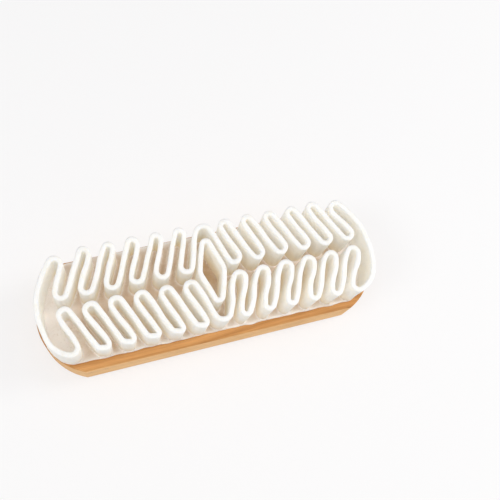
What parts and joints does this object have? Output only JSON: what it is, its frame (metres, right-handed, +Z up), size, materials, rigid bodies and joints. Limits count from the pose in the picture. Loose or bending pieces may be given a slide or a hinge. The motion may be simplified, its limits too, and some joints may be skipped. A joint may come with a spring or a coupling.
{
  "type": "suede brush",
  "caption": "Suede brush: a crepe rubber strip folded into two rows of leaning loops, glued on edge to a wooden block with bowed ends.",
  "frame": {"origin": "middle of the block's flat back, the face that the brush lies on", "axes": "+X along the block to the right end, +Y across it to the far side, +Z up from the back to the crepe's rims"},
  "size_m": [0.15, 0.048, 0.0371],
  "materials": {
    "oiled_wood": "lightly oiled, satin, fine lengthwise grain",
    "dried_latex": "thin dried latex film, cream-white, slightly glossy",
    "natural_crepe": "natural crepe rubber, cream-white, matte with fine pores",
    "loop_crepe": "natural crepe rubber, cream-white, matte with fine pores"
  },
  "bodies": {
    "root": {"wood_block": "oiled_wood", "glue_bed": "dried_latex", "crepe_strip": "natural_crepe", "centre_loop": "loop_crepe"}
  },
  "joints": []
}
